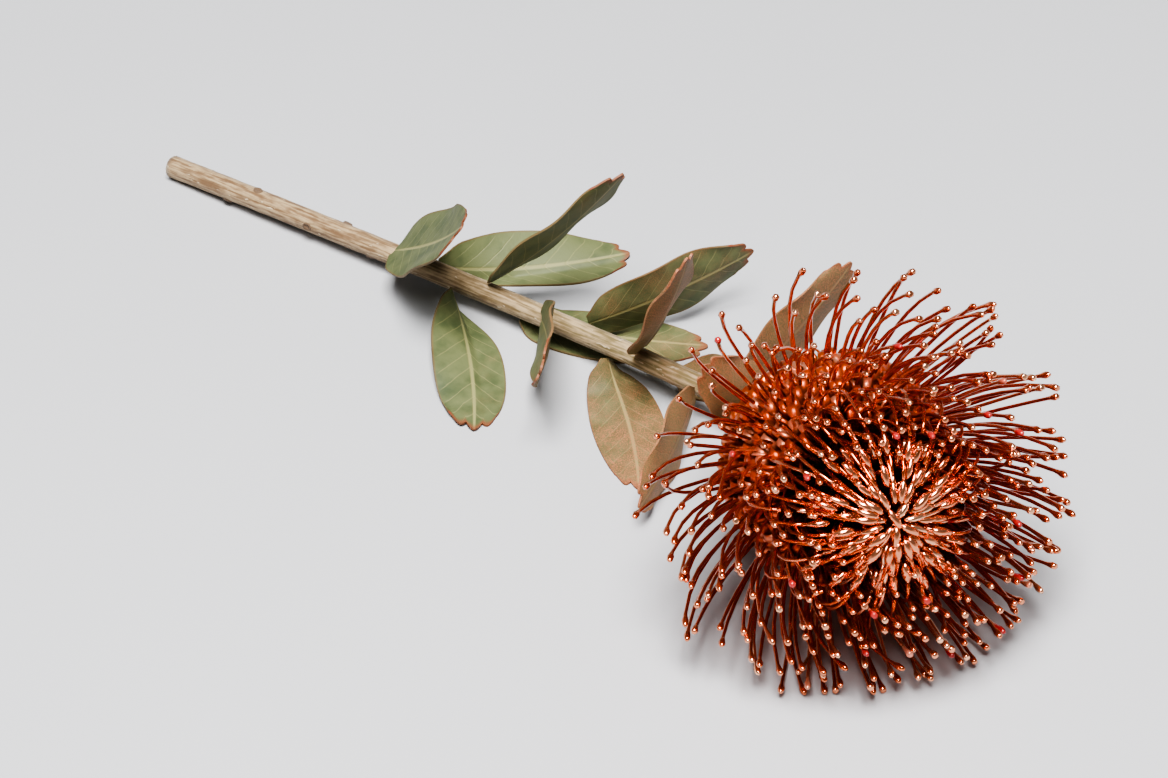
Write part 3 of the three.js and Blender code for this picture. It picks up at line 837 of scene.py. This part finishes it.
def midrib(number):
    """Points, sideways and upper directions along one leaf's midrib, and its length."""
    share, centre, ahead, out, side = leaf_seat(number)
    age = number / (LEAVES - 1)
    length = blend(LEAF_LENGTH, age)
    step = length / MIDRIB_STEPS
    point = centre + out * (stem_radius(share) + JOINT_GAP + LEAF_FLOOR)
    stations = []
    for i in range(MIDRIB_STEPS + 1):
        lean = blend(LEAF_LEAN, age) + LEAF_CURL * i / MIDRIB_STEPS
        heading = math.cos(lean) * ahead + math.sin(lean) * out
        rootward = 1 - smoothstep(i * step, 0, LEAF_STIFF_BASE)
        low = heading[2] <= 0
        free = float(smoothstep(point[2] - LEAF_FLOOR, 0, LEAF_GIVE)) if low else 1.0
        heading = unit(heading * np.array([1, 1, free]))
        level = side * np.array([1, 1, max(free, rootward)])
        level = unit(level - heading * level.dot(heading))
        stations.append((point, level, np.cross(level, heading)))
        point = point + heading * step
    return [np.array(column) for column in zip(*stations)], length


print("lowest leaf's length (mm):", round(midrib(0)[1] / MM, 1))

# %% [markdown]
# Across the midrib the blade is rounded at the base, folded up a little to both sides, and its
# margins wave gently. The teeth are cut by letting the last rows of the grid reach out in scallops.
# Solidify then gives the blade its thickness, which keeps both sides alike.

# %% Leaves
LEAF_COLUMNS = 24
LEAF_ROWS = 44
BLADE_THICKNESS = 0.62 * MM
WIDTH_WAVE = (0.16, 0.78)  # the part of a half wave that gives the blade's width
WIDTH_SKEW = 0.85
WIDTH_TAPER = 1.1
SHOULDER_END = 0.12
TEETH = 3
TOOTH_DEPTH = 1.2 * MM
TOOTH_SIDE_FADE = 4
TOOTH_ROOT_FADE = 6
TIP_ROUNDING = 0.1
LEAF_FOLD = 0.16
FOLD_ROUNDING = 1.2 * MM
RIPPLE = 0.8 * MM
RIPPLE_WAVES = 11
LEAF_SPRAY = (150 * MM, 25 * MM)


def half_width(share, width):
    """Half of the leaf's width at a share of its length."""
    swell = np.sin(math.pi * blend(WIDTH_WAVE, share ** WIDTH_SKEW)) ** WIDTH_TAPER
    shoulder = 1 - (1 - np.minimum(share / SHOULDER_END, 1)) ** 2
    return blend((LEAF_BASE_WIDTH / 2, width / 2 * swell), shoulder)


def leaf_surface(number, off, share):
    """Points of a leaf, from how far off the midrib and how far along it they are."""
    directions, length = midrib(number)
    scallop = 2 * np.abs(np.cos(math.pi / 2 * off * TEETH)) - 1
    fade = (1 - np.abs(off) ** TOOTH_SIDE_FADE) * share ** TOOTH_ROOT_FADE
    reach = length * (1 - TIP_ROUNDING * off ** 2 * share ** 3) - TOOTH_DEPTH
    at = (reach * share + scallop * fade * TOOTH_DEPTH) / length * MIDRIB_STEPS
    at = np.clip(at, 0, MIDRIB_STEPS)
    stations = np.arange(MIDRIB_STEPS + 1)
    middle, side, upper = (rows_at(at, stations, rows) for rows in directions)
    spread = off * half_width(share, blend(LEAF_WIDTH, number / (LEAVES - 1)))
    ripple = RIPPLE * np.sin(RIPPLE_WAVES * share + 3 * number + np.sign(off)) * off ** 2
    lift = LEAF_FOLD * (np.hypot(spread, FOLD_ROUNDING) - FOLD_ROUNDING) + ripple
    surface = middle + spread[:, None] * side + lift[:, None] * upper
    surface[:, 2] = np.maximum(surface[:, 2], LEAF_FLOOR)
    return surface


def leaf_blade(number):
    """One leaf: a grid bent to the leaf's surface, then thickened."""
    bpy.ops.object.select_all(action="DESELECT")
    bpy.ops.mesh.primitive_grid_add(x_subdivisions=LEAF_COLUMNS, y_subdivisions=LEAF_ROWS, size=2)
    blade = bpy.context.object
    blade.name = f"leaf_blade_{number + 1:02d}"
    flat = points_of(blade)
    off = flat[:, 0]
    share = (flat[:, 1] + 1) / 2
    move(blade, leaf_surface(number, off, share))
    mark(blade, "along", share)
    mark(blade, "off_midrib", off)
    mark_evenly(blade, tint=dice.random())
    thicken(blade)
    mark_spray(blade, head_base, *LEAF_SPRAY)
    return blade


def thicken(blade):
    """Solidify to both sides, then smooth shading."""
    solid = blade.modifiers.new("thickness", "SOLIDIFY")
    solid.thickness = BLADE_THICKNESS
    solid.offset = 0
    bpy.ops.object.modifier_apply(modifier=solid.name)
    bpy.ops.object.mode_set(mode="EDIT")
    bpy.ops.mesh.select_all(action="SELECT")
    bpy.ops.mesh.normals_make_consistent(inside=False)
    bpy.ops.object.mode_set(mode="OBJECT")
    bpy.ops.object.shade_smooth_by_angle(angle=math.radians(50))


leaves = [leaf_blade(number) for number in range(LEAVES)]
print("leaves:", len(leaves))

# %% [markdown]
# ## Finishes
# Shader maths is written as ordinary expressions. A small class wraps a node's output, and adding
# or multiplying two of them makes the Math node that does it. The same could be clicked together
# in the shader editor, but an expression can be read like a sentence.

# %% Numbers that vary over a surface
class Varying:
    """A number that varies over a surface. Sums and products of it add Math nodes."""

    def __init__(self, finish, socket):
        self.finish = finish
        self.socket = socket

    def math(self, operation, *others):
        sockets = dict(enumerate((self, *others)))
        made = self.finish.node("ShaderNodeMath", {"operation": operation}, sockets)
        return Varying(self.finish, made.outputs[0])

    def capped(self):
        """No more than 1."""
        return self.math("MINIMUM", 1.0)

    def swing(self, width):
        """A noise between 0 and 1 as a swing of some width round zero."""
        return (self - 0.5) * width

    def __add__(self, other):
        return self.math("ADD", other)

    def __mul__(self, other):
        return self.math("MULTIPLY", other)

    def __sub__(self, other):
        return self.math("SUBTRACT", other)

    def __rsub__(self, other):
        return self.math("MULTIPLY", -1.0) + other

    __radd__ = __add__
    __rmul__ = __mul__


# %% A finish and its one node-making method
class Finish:
    """The nodes of a material, or of the room's light."""

    def __init__(self, owner):
        owner.use_nodes = True
        self.owner = owner
        self.tree = owner.node_tree
        self.tree.nodes.clear()
        self.texture_place = self.node("ShaderNodeTexCoord").outputs
        self.place = self.texture_place["Object"]

    def node(self, kind, settings=None, sockets=None):
        """One node of a kind, with its settings and the values or links of its sockets."""
        made = self.tree.nodes.new(kind)
        for name, value in (settings or {}).items():
            setattr(made, name, value)
        for key, value in (sockets or {}).items():
            value = value.socket if isinstance(value, Varying) else value
            if isinstance(value, bpy.types.NodeSocket):
                self.tree.links.new(value, made.inputs[key])
            else:
                made.inputs[key].default_value = value
        return made

    def attribute(self, name):
        """A number marked on the vertices."""
        return Varying(self, self.node("ShaderNodeAttribute", {"attribute_name": name}).outputs["Fac"])

    def noise(self, scale, detail=3.0, stretch=None, place=None):
        """Cloudy noise of about scale spots to the metre."""
        place = place or self.place
        if stretch:
            place = self.node("ShaderNodeMapping", None, {"Vector": place, "Scale": stretch}).outputs[0]
        sockets = {"Vector": place, "Scale": scale, "Detail": detail}
        return Varying(self, self.node("ShaderNodeTexNoise", None, sockets).outputs["Fac"])

    def distance_from(self, centre):
        """How far each spot of the surface is from a centre."""
        made = self.node("ShaderNodeVectorMath", {"operation": "DISTANCE"}, {0: self.place, 1: centre})
        return Varying(self, made.outputs["Value"])

    def ease(self, value, low, high, ends=(0.0, 1.0)):
        """The first of the ends where value is at low, the second at high, smooth between."""
        sockets = {0: value, 1: low, 2: high, 3: ends[0], 4: ends[1]}
        made = self.node("ShaderNodeMapRange", {"interpolation_type": "SMOOTHSTEP"}, sockets)
        return Varying(self, made.outputs[0])

    def mix(self, share, first, second):
        """A colour between two colours, by a varying share."""
        made = self.node("ShaderNodeMix", {"data_type": "RGBA"}, {0: share, 6: first, 7: second})
        return made.outputs[2]

    def bump(self, height, depth):
        """A relief of some depth in metres."""
        sockets = {"Height": height, "Distance": depth, "Strength": 1.0}
        return self.node("ShaderNodeBump", None, sockets).outputs[0]

    def shade(self, colour, roughness, metallic=0.0, **others):
        """The material, with its varying inputs linked to the shader and its constants set on it."""
        sockets = {"Base Color": colour, "Roughness": roughness, "Metallic": metallic}
        sockets.update({name.replace("_", " "): value for name, value in others.items()})
        shader = self.node("ShaderNodeBsdfPrincipled", None, sockets)
        self.node("ShaderNodeOutputMaterial", None, {"Surface": shader.outputs[0]})
        print(self.owner.name, "has", len(self.tree.nodes), "nodes")
        return self.owner


# %% [markdown]
# ## Copper paint
# The paint is a metallic spray: bright where it lies thick on the outer wires and the petal tips,
# thin and reddish deeper in, where the orange-red of the flower shows through. The tips are also
# mixed paler as a painted highlight, and the deep parts darker as a painted shade. A few tips missed
# it and stay crimson. Droplets leave the surface slightly pebbled. One plain metal would make a
# flower of solid copper, so the colour, the metal and the dullness all follow the spray.

# %% Copper paint on the head
COPPER = (0.7, 0.135, 0.03, 1)
# Pale copper: paler florets at random, and the painted highlight on the tips.
COPPER_PALE_AND_HIGHLIGHT = (0.96, 0.53, 0.34, 1)
# Deep in the head: partly the flower's own red, darkened further as painted shade.
BARE_FLOWER_AND_SHADE = (0.27, 0.028, 0.004, 1)
CRIMSON_TIP = (0.4, 0.035, 0.03, 1)
PAINT_PATCHES = 120.0
PAINT_DROPLETS = 500.0
PAINT_PEBBLES = 3600.0
PAINT_METAL = (0.35, 0.95)  # bare, covered
SMOOTH_DULLNESS = 0.11
DOWNY_DULLNESS = 0.26


def copper_paint(name, dullness, pebble_depth):
    """Sprayed copper over an orange-red flower, with a painted highlight on the tips and painted shade
    deep in the head.
    """
    f = Finish(bpy.data.materials.new(name))
    tint = f.attribute("tint")
    thick = f.attribute("thick_paint")
    patchy = f.noise(PAINT_PATCHES, 2.0)
    # Less cover deep in the head gives the bare red and a painted shade.
    cover = f.ease(f.attribute("spray") + thick * 0.25 + patchy.swing(0.5), 0.15, 0.85)
    # Painted highlight: the tips are mixed towards the pale copper.
    pale_and_highlight = (f.ease(tint + patchy.swing(0.3), 0.5, 1.2) + thick * 0.5).capped()
    painted = f.mix(cover, BARE_FLOWER_AND_SHADE, f.mix(pale_and_highlight, COPPER, COPPER_PALE_AND_HIGHLIGHT))
    missed = f.ease(tint, 0.96, 0.97) * f.ease(f.attribute("along"), 0.9, 0.94)
    metal = blend(PAINT_METAL, cover) * (1 - missed * 0.8)
    rough = f.noise(PAINT_DROPLETS) * 0.1 + (1 - cover) * 0.12 + dullness
    return f.shade(
        f.mix(missed, painted, CRIMSON_TIP), rough, metal,
        Normal=f.bump(f.noise(PAINT_PEBBLES, 2.0), pebble_depth),
        Coat_Weight=0.45, Coat_Roughness=0.08)


copper = copper_paint("copper_paint", SMOOTH_DULLNESS, 0.008 * MM)
downy_copper = copper_paint("copper_paint_on_down", DOWNY_DULLNESS, 0.04 * MM)

# %% [markdown]
# ## Bracts, bark and leaves
# Below the head the paint is only dust. The bracts are brown and caught it from above, the bark is
# tan with long grain, and the leaves are a leathery grey-green with paler veins, reddish teeth and
# fine copper specks that thin out away from the head. Each is built up as it grew: the bare colour
# first, then its markings, and the dust of the paint last, over everything.

# %% Dust of the paint
DUST_COPPER = (0.46, 0.195, 0.1, 1)
DUST_SPECKS = 3600.0
DUST_CLOUDS = 110.0


def dust(f):
    """Share of a surface that specks of paint cover."""
    specks = f.ease(f.noise(DUST_SPECKS, 1.0), 0.45, 0.62)
    reach = f.ease(f.attribute("spray") + f.noise(DUST_CLOUDS).swing(0.8), 0.1, 1.0)
    return (specks * 0.75 + 0.25) * reach


print("specks to the metre:", DUST_SPECKS)

# %% Bracts
# The dark foot is a painted shade where the bracts overlap.
BRACT_FOOT_SHADE = (0.09, 0.045, 0.02, 1)
BRACT_POINT = (0.33, 0.19, 0.1, 1)
BRACT_GRAIN = 420.0
BRACT_PATCHES = 300.0
BRACT_DOWN = 2600.0


def bract_finish():
    """Brown scales, thinly painted, darker towards their base as a painted shade where they overlap."""
    f = Finish(bpy.data.materials.new("painted_bracts"))
    grain = f.noise(BRACT_GRAIN)
    bare = f.mix(f.ease(f.attribute("along") + grain.swing(0.4), 0.1, 0.9), BRACT_FOOT_SHADE, BRACT_POINT)
    cover = f.ease(f.attribute("spray") + f.noise(BRACT_PATCHES).swing(0.9), 0.25, 0.95)
    relief = grain * 0.4 + f.noise(BRACT_DOWN, 2.0) * 0.6
    return f.shade(
        f.mix(cover * 0.75, bare, DUST_COPPER), 0.7 - cover * 0.2, cover * 0.5,
        Normal=f.bump(relief, 0.22 * MM), Sheen_Weight=0.3)


bract_brown = bract_finish()

# %% Bark
BARK_OLD = (0.15, 0.085, 0.04, 1)
BARK_YOUNG = (0.14, 0.115, 0.045, 1)
BARK_RIDGES = (0.36, 0.265, 0.155, 1)
BARK_PORES = (0.42, 0.34, 0.23, 1)
SCAR_BROWN = (0.13, 0.08, 0.045, 1)
GRAIN, GRAIN_STRETCH = 1300.0, (1.0, 1.0, 0.07)
WRINKLES, WRINKLE_STRETCH = 500.0, (1.0, 1.0, 0.5)
PORES, PORE_STRETCH = 850.0, (1.0, 1.0, 0.4)
BLOTCHES = 70.0


def bark_finish():
    """Tan bark with long grain and pale pores, and a little copper dust near the head."""
    f = Finish(bpy.data.materials.new("stem_bark"))
    unbent = f.node("ShaderNodeAttribute", {"attribute_name": "unbent"}).outputs["Vector"]
    grain = f.noise(GRAIN, 4.0, GRAIN_STRETCH, unbent)
    wrinkles = f.noise(WRINKLES, 3.0, WRINKLE_STRETCH, unbent)
    blotch = f.noise(BLOTCHES)
    pores = f.ease(f.noise(PORES, 1.0, PORE_STRETCH, unbent), 0.68, 0.74)
    age = f.ease(f.attribute("along") + blotch * 0.3, 0.35, 1.1)
    worn = f.ease(grain * 0.6 + wrinkles * 0.25 + blotch * 0.15, 0.4, 0.62)
    bare = f.mix(worn, f.mix(age, BARK_OLD, BARK_YOUNG), BARK_RIDGES)
    scarred = f.ease(f.attribute("tint"), 0.45, 0.25)
    marked = f.mix(scarred, f.mix(pores, bare, BARK_PORES), SCAR_BROWN)
    specks = dust(f)
    relief = grain * 0.6 + wrinkles * 0.6 + pores * 0.3
    return f.shade(
        f.mix(specks, marked, DUST_COPPER), 0.78 - specks * 0.3, specks * 0.6,
        Normal=f.bump(relief, 0.4 * MM), Sheen_Weight=0.2)


bark = bark_finish()

# %% Leaf green
LEAF_DARK = (0.055, 0.075, 0.03, 1)
LEAF_PALE = (0.125, 0.14, 0.06, 1)
LEAF_VEIN = (0.24, 0.23, 0.1, 1)
LEAF_TEETH = (0.2, 0.055, 0.025, 1)
LEAF_MOTTLE = 170.0
LEAF_GRAIN = 600.0
VEIN_PAIRS = 9.0
VEIN_SLANT = 1.9


def leaf_finish():
    """Leathery green with veins, reddish teeth and copper specks."""
    f = Finish(bpy.data.materials.new("dusted_leaf"))
    along = f.attribute("along")
    off = f.attribute("off_midrib").math("ABSOLUTE")
    mottle = f.noise(LEAF_MOTTLE)
    rib = 1 - f.ease(off, 0.02, 0.075)
    slant = (along * VEIN_PAIRS - off * VEIN_SLANT + mottle.swing(0.25)).math("PINGPONG", 0.5)
    veins = (1 - f.ease(slant, 0.0, 0.07)) * (1 - f.ease(off, 0.75, 1.0)) * f.ease(along, 0.03, 0.15)
    green = f.mix(f.ease(mottle + f.attribute("tint") * 0.35, 0.35, 0.9), LEAF_DARK, LEAF_PALE)
    veined = f.mix((rib + veins * 0.45).capped(), green, LEAF_VEIN)
    edge = f.ease(off, 0.93, 1.0) * 0.35 + f.ease(along + mottle.swing(0.06), 0.955, 0.995) * 0.8
    rimmed = f.mix(edge.capped(), veined, LEAF_TEETH)
    specks = dust(f)
    relief = mottle + f.noise(LEAF_GRAIN) * 0.4 - (rib + veins * 0.6) * 0.5
    return f.shade(
        f.mix(specks, rimmed, DUST_COPPER), 0.56 - specks * 0.06 + mottle * 0.1, specks * 0.4,
        Normal=f.bump(relief, 0.16 * MM))


leaf_green = leaf_finish()

# %% [markdown]
# ## The cut
# The stem was cut with a sharp knife: the face is pale and damp-dark at the rim, with a spot of
# pith in the middle. It is the one face at the end of the rod, so instead of a picture of wood it
# gets a finish of its own, drawn by the distance from the middle.

# %% Cut end
CUT_WOOD = (0.52, 0.42, 0.25, 1)
CUT_RIM = (0.16, 0.1, 0.05, 1)
CUT_PITH = (0.3, 0.2, 0.1, 1)
CUT_FIBRE = (0.25, 0.18, 0.1, 1)
CUT_FIBRES = 1800.0


def cut_wood_finish():
    """Pale wood with a darker pith and rim, by the distance from the stem's middle line."""
    f = Finish(bpy.data.materials.new("cut_wood"))
    reach = f.distance_from(tuple(float(value) for value in cut_end))
    fibres = f.noise(CUT_FIBRES, 2.0)
    wood = f.mix(f.ease(reach, 2.5 * MM, 3.4 * MM), CUT_WOOD, CUT_RIM)
    pithed = f.mix(1 - f.ease(reach, 0.5 * MM, 1.1 * MM), wood, CUT_PITH)
    colour = f.mix(fibres * 0.35, pithed, CUT_FIBRE)
    return f.shade(colour, 0.7 + fibres * 0.15, Normal=f.bump(fibres, 0.15 * MM))


def finish_with(piece, *materials):
    """Gives a piece its finishes. All faces take the first."""
    piece.data.materials.clear()
    for material in materials:
        piece.data.materials.append(material)


finish_with(stem, bark, cut_wood_finish())
stem_backwards = -unit(stem_line[1] - stem_line[0])
for face in stem.data.polygons:
    near_cut = np.linalg.norm(np.array(face.center) - cut_end) < STEM_RADIUS[0]
    face.material_index = int(near_cut and np.dot(face.normal, stem_backwards) > 0.9)
print("faces of cut wood:", sum(face.material_index for face in stem.data.polygons))

# %% Put the other finishes on
for piece in head_pieces:
    finish_with(piece, downy_copper if piece is rolled_petals else copper)
finish_with(involucre, bract_brown)
for blade in leaves:
    finish_with(blade, leaf_green)
print("pieces with a finish:", len(head_pieces) + 2 + len(leaves))

# %% [markdown]
# ## Pieces on the body, and the solids they hide
# Each new piece rides on the one body, because nothing on a flower is jointed. It hides the plain
# solid that it stands for.

# %% Pieces and the solids they replace
for piece in head_pieces:
    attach(piece, "root")
    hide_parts("flower_head")
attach(involucre, "root")
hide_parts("involucre")
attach(stem, "root")
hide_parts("stem")
for number, blade in enumerate(leaves, start=1):
    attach(blade, "root")
    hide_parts(f"leaf_{number:02d}")
print("pieces:", len(head_pieces) + 2 + len(leaves))

# %% [markdown]
# ## Table
# A wide pale table. A small one would end in a hard line when it is seen from low down, and a lamp
# can't light a wide one evenly, so far off it glows by itself, as faintly as the room behind it.

# %% Table
TABLE_SIZE = 8
TABLE_GREY = (0.4, 0.4, 0.41, 1)
TABLE_PALE = (0.44, 0.44, 0.45, 1)
TABLE_CLOUDS = 3.0
FAR_GLOW = (0.42, 0.425, 0.435, 1)
GLOW_FROM = 0.2
GLOW_FULL = 2.2


def table():
    """A wide pale surface at height 0, which glows faintly far off, where the lamps don't reach."""
    bpy.ops.object.select_all(action="DESELECT")
    bpy.ops.mesh.primitive_plane_add(size=TABLE_SIZE, location=(0, 0, 0))
    plane = bpy.context.object
    plane.name = "table"
    f = Finish(bpy.data.materials.new("table_surface"))
    cloud = f.noise(TABLE_CLOUDS)
    glow = f.mix(f.ease(f.distance_from((0, 0, 0)), GLOW_FROM, GLOW_FULL), (0, 0, 0, 1), FAR_GLOW)
    finish_with(plane, f.shade(
        f.mix(cloud, TABLE_GREY, TABLE_PALE), 0.75 + cloud * 0.1,
        Emission_Color=glow, Emission_Strength=1.0))
    return plane


table()

# %% [markdown]
# ## Light
# Copper shows what it mirrors, so its sparkle is the contrast between a bright lamp and the dark
# between the wires. One large soft lamp hangs high and a little in front of the head, where it
# draws a streak on every petal tip of the star, and a weak small one beside it adds sharp points.
# The room is pale at the height of the table and dim overhead: an evenly bright room would leave
# the wires flat.

# %% Lamps
LAMPS = (  # name, place from the flower's middle, size in metres, watts
    ("overhead", (0.26, -0.38, 1.5), 0.67, 53),
    ("front_fill", (0.35, -0.75, 1.15), 0.25, 3.5),
)


def point_at(thing, place, aim):
    """Places a light or camera and turns its front to a spot."""
    thing.location = Vector(place)
    thing.rotation_euler = (Vector(aim) - Vector(place)).to_track_quat("-Z", "Y").to_euler()


def area_light(name, place, aim, size, watts):
    """A square soft light that looks at a spot."""
    data = bpy.data.lights.new(name, "AREA")
    data.size = size
    data.energy = watts
    lamp = bpy.data.objects.new(name, data)
    bpy.context.collection.objects.link(lamp)
    point_at(lamp, place, aim)


centre = (np.array(cad_box[0]) + np.array(cad_box[1])) / 2
for name, offset, size, watts in LAMPS:
    area_light(name, centre + np.array(offset), centre, size, watts)
print("lamps:", len(LAMPS))

# %% Room
ROOM_GREY = (0.76, 0.77, 0.79, 1)
ROOM_FADE = 0.4  # height, as a share of the way overhead, at which it is dim
ROOM_LIGHT = (0.7, 0.16)  # at the table's height, overhead


def room():
    """Grey surroundings, pale at the height of the table and dim overhead."""
    f = Finish(bpy.data.worlds.new("room"))
    split = f.node("ShaderNodeSeparateXYZ", None, {0: f.texture_place["Generated"]})
    light = f.ease(Varying(f, split.outputs["Z"]), 0.0, ROOM_FADE, ROOM_LIGHT)
    background = f.node("ShaderNodeBackground", None, {"Color": ROOM_GREY, "Strength": light})
    f.node("ShaderNodeOutputWorld", None, {"Surface": background.outputs[0]})
    return f.owner


bpy.context.scene.world = room()
print("room light at the table and overhead:", ROOM_LIGHT)

# %% [markdown]
# ## Camera
# The camera looks down on the flower and into the head, from near enough that its wires separate.
# The picture is developed the way film does it: bright spots fade to a pale pink instead of
# breaking into orange, which is what the plain transform does with shiny copper.

# %% Camera
CAMERA_HEADING = math.radians(90 - 38)
CAMERA_RISE = math.radians(40)
CAMERA_LENS = 80
CAMERA_DISTANCE = 0.72
CAMERA_AIM_SHIFT = np.array([0.026, -0.016, -0.022])
EXPOSURE = 0.15


def photo_camera():
    """Looks down on the flower, into the head."""
    data = bpy.data.cameras.new("camera")
    data.lens = CAMERA_LENS
    camera = bpy.data.objects.new("camera", data)
    bpy.context.collection.objects.link(camera)
    aim = centre + CAMERA_AIM_SHIFT
    point_at(camera, aim + direction(CAMERA_HEADING, CAMERA_RISE) * CAMERA_DISTANCE, aim)
    return camera


scene = bpy.context.scene
scene.camera = photo_camera()
scene.view_settings.view_transform = "AgX"
scene.view_settings.look = "AgX - High Contrast"
scene.view_settings.exposure = EXPOSURE
print("camera at (mm):", np.round(np.array(scene.camera.location) / MM))

# %% Sizes of the solids
print("CAD box (mm):", np.round(np.array(cad_box) / MM, 1).tolist())
